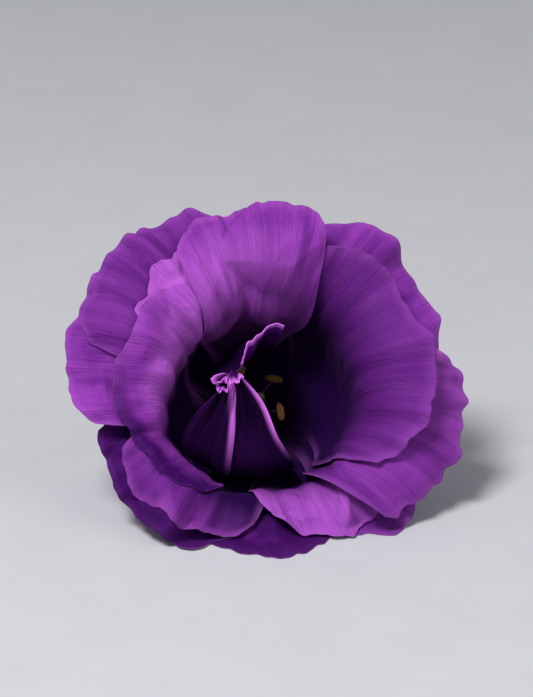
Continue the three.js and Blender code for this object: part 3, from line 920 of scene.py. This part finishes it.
def makePistil(bodyMaterial, stigmaMaterial):
    foot, top = pistil["outline"][0][0], pistil["outline"][-1][0]
    height = np.linspace(foot, top, pistil["steps"])
    path = np.stack([0 * height, 0 * height, height], axis=-1)
    name = "fine_pistil_body"
    mesh = tube(name, layDown(path) / mm, pistilRadii(height), right)
    addPiece(name, mesh, bodyMaterial, "pistil")
    chance = np.random.default_rng(pistil["seed"])
    steps = pistil["lobeSteps"]
    for side, word in ((-1, "left"), (1, "right")):
        centre = np.array([side * pistil["lobeApart"] / 2, 0, pistil["lobeHeight"]])
        path = lobedPath(centre, np.array([1.0, 0, 0]), np.array([0, 0, 1.0]),
                         pistil["lobeLength"], pistil["lobeCurl"], steps)
        uneven = chance.standard_normal((steps + 1, pistil["sides"]))
        radii = pistil["lobeWidth"] * belly(steps, 2) * (1 + pistil["unevenness"] * uneven)
        name = "fine_pistil_lobe_" + word
        mesh = tube(name, layDown(path) / mm, radii, flowerAxis())
        addPiece(name, mesh, stigmaMaterial, "pistil")


makeStamens(bodyFinish("pollen", antherLooks), bodyFinish("filament skin", filamentLooks))
makePistil(bodyFinish("pistil skin", pistilLooks), bodyFinish("stigma velvet", stigmaLooks))
print("stamens and pistil made")


# Calyx and pedicel.

calyx = {
    "bossRadius": 4.1,
    "bossHeight": 0.2,
    "bevelAcross": 0.3,     # of the boss and the foot
    "bevelDown": 0.2,
    "seatArcs": (0, 0.6, 1),    # of the cup, which the seat of the petals runs under
    "seatDepth": 1.95,      # of the seat under the cup that the petals follow
    "funnel": [(6.9, -2.4), (6.2, -3.4), (4.75, -4.6), (3.5, -5.6), (2.5, -6.7), (1.75, -7.7)],
    "depth": 9.2,
    "footTaper": 0.9,
    "ribs": 0.035,
    "ribFade": 3,           # from the petals' foot down to the full ribs
    "steps": 90,
    "sides": 60,
    "sepals": 5,
    "sepalTurn": 18,
    "sepalReach": 12.5,
    "sepalWidth": 2.1,
    "sepalPoint": 0.7,      # how slender a sepal's tip is
    "sepalTip": 0.04,       # of its width, at the very tip
    "sepalKeel": 0.7,
    "keelTip": 0.2,
    "keelSharpness": 2.5,
    "sepalThickness": 0.3,
    "sepalGap": 0.95,       # under the petals, to the sepals' middle
    "sepalCurl": 0.9,       # of the tip, away from the petals
    "curlPower": 4,         # of the way along, with which it grows
    "curlSpread": 0.4,      # from sepal to sepal
    "curlTurn": 2.4,
    "sepalSteps": 40,
    "sepalSides": 24,
}
pedicel = {
    "radius": 1.33,
    "topRadius": 1.6,
    "flareShare": 0.125,    # of its length, over which it widens to the top
    "rest": 1.36,           # height of its middle where it lies
    "length": 56,
    "overlap": 1.6,
    "plunge": 0.95,         # of the way down to the floor that it keeps to the flower's axis
    "touchReach": 3.2,      # times that way, from the calyx to where it meets the floor
    "touchSide": 0.6,
    "touchLead": 0.3,
    "endSide": 4,
    "endLead": (1.5, 10),
    "ridges": 0.04,
    "ridgeCount": 5,
    "steps": 90,
    "sides": 40,
}
calyxLooks = {
    "base": linear(92, 122, 62),
    "mottle": linear(66, 98, 46),
    "end": linear(92, 122, 62),
    "scale": 3,
    "stripes": 3,
    "roughness": 0.5,
    "relief": 0.08,
    "coat": 0.12,
}
pedicelLooks = dict(
    calyxLooks, base=linear(104, 132, 74), mottle=linear(76, 106, 52), end=linear(186, 196, 148))


def calyxOutline():
    # radius and height from the boss in the middle, over the seat and down to the pedicel
    seat = []
    for s in calyx["seatArcs"]:
        radius, height, lean = cups["cup"](s)
        seat.append((radius + calyx["seatDepth"] * math.cos(lean),
                     height - calyx["seatDepth"] * math.sin(lean)))
    boss, top = calyx["bossRadius"], calyx["bossHeight"]
    across, down = calyx["bevelAcross"], calyx["bevelDown"]
    seatTop = seat[0][1]
    foot = pedicel["topRadius"]
    return [
        (across, top), (boss - across, top), (boss, top - down),
        (boss, seatTop + down), (boss + across, seatTop),
        *seat, *calyx["funnel"],
        (foot, -calyx["depth"] + across), (foot * calyx["footTaper"], -calyx["depth"])]


def calyxRings():
    outline = np.array(calyxOutline()[::-1])
    lengths = np.linalg.norm(np.diff(outline, axis=0), axis=1)
    arcs = np.concatenate([[0], np.cumsum(lengths)])
    places = np.linspace(0, arcs[-1], calyx["steps"])
    radius = np.interp(places, arcs, outline[:, 0])
    height = np.interp(places, arcs, outline[:, 1])
    angle = ringAngles(calyx["sides"])
    ribbed = smooth(-height / calyx["ribFade"])[:, None]
    ribs = np.cos(calyx["sepals"] * (angle - math.radians(calyx["sepalTurn"])))
    wide = radius[:, None] * (1 + calyx["ribs"] * ribbed * ribs)
    rings = [wide * np.cos(angle), wide * np.sin(angle), height[:, None] + 0 * wide]
    return np.stack(rings, axis=-1), places


def sepalRings(number):
    turn = math.radians(calyx["sepalTurn"] + number * 360 / calyx["sepals"])
    t = np.linspace(0, 1, calyx["sepalSteps"] + 1)[:, None]
    angle = ringAngles(calyx["sepalSides"])
    s = calyx["sepalReach"] * t
    taper = (1 - t) ** calyx["sepalPoint"] + calyx["sepalTip"]
    wide = calyx["sepalWidth"] * taper / cups["cup"](s)[0]
    low = outerPetals["petal_outer_4"]["rise"] - calyx["sepalGap"]
    keel = (lerp(calyx["sepalKeel"], calyx["keelTip"], t)
            * np.abs(np.sin(angle)) ** calyx["keelSharpness"])
    upper = calyx["sepalThickness"] * np.sin(angle) * taper
    height = np.where(np.sin(angle) > 0, upper, -keel)
    phi = turn - wide * np.cos(angle)
    spread = calyx["curlSpread"]
    share = 1 - spread + spread * math.sin(number * calyx["curlTurn"])
    curl = calyx["sepalCurl"] * t ** calyx["curlPower"] * share
    return cupPoint("cup", phi, s + 0 * phi, low + height - curl), s[:, 0]


def pedicelPath():
    # out of the calyx along the flower's axis, down to the floor and on to the cut end
    tilt = math.radians(lying["faceTilt"])
    top = pedicel["overlap"] - calyx["depth"]
    rest = pedicel["rest"]
    start = layDown(np.array([0, 0, top])) / mm
    descent = (start[2] - rest) / math.sin(tilt)
    below = layDown(np.array([0, 0, top - pedicel["plunge"] * descent])) / mm
    middle = origin[0] / mm
    touchY = start[1] + pedicel["touchReach"] * descent
    touch = np.array([middle + pedicel["touchSide"], touchY, rest])
    end = np.array([middle + pedicel["endSide"], start[1] + pedicel["length"], rest])
    lead = np.array([pedicel["touchLead"], descent, 0])
    endLead = np.array([*pedicel["endLead"], 0])
    half = pedicel["steps"] // 2
    first = bezier([start, below, touch - lead, touch], half)
    second = bezier([touch, touch + lead, end - endLead, end], half)
    return np.concatenate([first, second[1:]])


def makeCalyx(calyxMaterial, pedicelMaterial):
    bodies = {"fine_calyx": calyxRings()}
    for number in range(calyx["sepals"]):
        bodies["fine_sepal_" + str(number + 1)] = sepalRings(number)
    for name, (rings, places) in bodies.items():
        mesh = ringMesh(name, layDown(rings) / mm, places)
        addPiece(name, mesh, calyxMaterial, "calyx_and_pedicel")
    path = pedicelPath()
    t = np.linspace(0, 1, len(path))[:, None]
    radius = lerp(pedicel["radius"], pedicel["topRadius"], smooth(1 - t / pedicel["flareShare"]))
    ridges = (np.cos(pedicel["ridgeCount"] * ringAngles(pedicel["sides"])) - 1) / 2
    radii = radius * (1 + pedicel["ridges"] * ridges)
    mesh = tube("fine_pedicel", path, radii, np.array([0, 0, 1.0]))
    addPiece("fine_pedicel", mesh, pedicelMaterial, "calyx_and_pedicel")


makeCalyx(bodyFinish("calyx skin", calyxLooks), bodyFinish("pedicel skin", pedicelLooks))
print("calyx and pedicel made")


# Floor, light and camera.

studio = {
    "floorColour": linear(186, 186, 190),
    "floorMottle": linear(178, 178, 183),
    "floorGrain": 60,
    "floorRoughness": 0.9,
    "floorSize": 8,
    "skyColour": linear(235, 238, 245),
    "skyStrength": 0.34,
    "keyPlace": (-0.42, -0.45, 0.88),
    "keySize": 0.3,
    "keyPower": 13,
    "fillPlace": (0.7, -0.8, 0.4),
    "fillSize": 0.8,
    "fillPower": 4,
    "azimuth": -11,
    "elevation": 19,
    "distance": 0.7,
    "lens": 200,
    "sensorHeight": 36,
    "nearest": 0.01,
    "target": (0.0002, -0.0211, 0.0204),    # from the flower's own centre
}


def makeFloor():
    half = studio["floorSize"] / 2
    corners = [(-half, -half, 0), (half, -half, 0), (half, half, 0), (-half, half, 0)]
    mesh = bpy.data.meshes.new("floor")
    mesh.from_pydata(corners, [], [(0, 1, 2, 3)])
    finish = Finish("floor card")
    place = finish.node("ShaderNodeTexCoord", {}, {}, "Object")
    grain = finish.noise(place, studio["floorGrain"], 3)
    colour = finish.mix(studio["floorColour"], studio["floorMottle"], grain)
    card = finish.principled({"Base Color": colour, "Roughness": studio["floorRoughness"]})
    mesh.materials.append(finish.done(card))
    floor = bpy.data.objects.new("floor", mesh)
    bpy.context.collection.objects.link(floor)


def aim(thing, place, target):
    thing.location = place
    towards = target - Vector(place)
    thing.rotation_euler = towards.to_track_quat("-Z", "Y").to_euler()
    bpy.context.collection.objects.link(thing)


def lookTarget():
    return Vector(origin.tolist()) + Vector(studio["target"])


def makeLight(name):
    light = bpy.data.lights.new(name, "AREA")
    light.size = studio[name + "Size"]
    light.energy = studio[name + "Power"]
    aim(bpy.data.objects.new(name, light), studio[name + "Place"], lookTarget())


def makeSky():
    world = bpy.data.worlds.new("studio")
    world.use_nodes = True
    background = world.node_tree.nodes["Background"]
    background.inputs["Color"].default_value = studio["skyColour"]
    background.inputs["Strength"].default_value = studio["skyStrength"]
    bpy.context.scene.world = world


def makeCamera():
    camera = bpy.data.cameras.new("camera")
    camera.sensor_fit = "VERTICAL"
    camera.sensor_height = studio["sensorHeight"]
    camera.lens = studio["lens"]
    camera.clip_start = studio["nearest"]
    a = math.radians(studio["azimuth"])
    e = math.radians(studio["elevation"])
    back = Vector((math.sin(a) * math.cos(e), -math.cos(a) * math.cos(e), math.sin(e)))
    target = lookTarget()
    holder = bpy.data.objects.new("camera", camera)
    aim(holder, target + studio["distance"] * back, target)
    bpy.context.scene.camera = holder


makeFloor()
makeLight("key")
makeLight("fill")
makeSky()
makeCamera()
bpy.context.scene.view_settings.view_transform = "Standard"
print("floor, light and camera made")
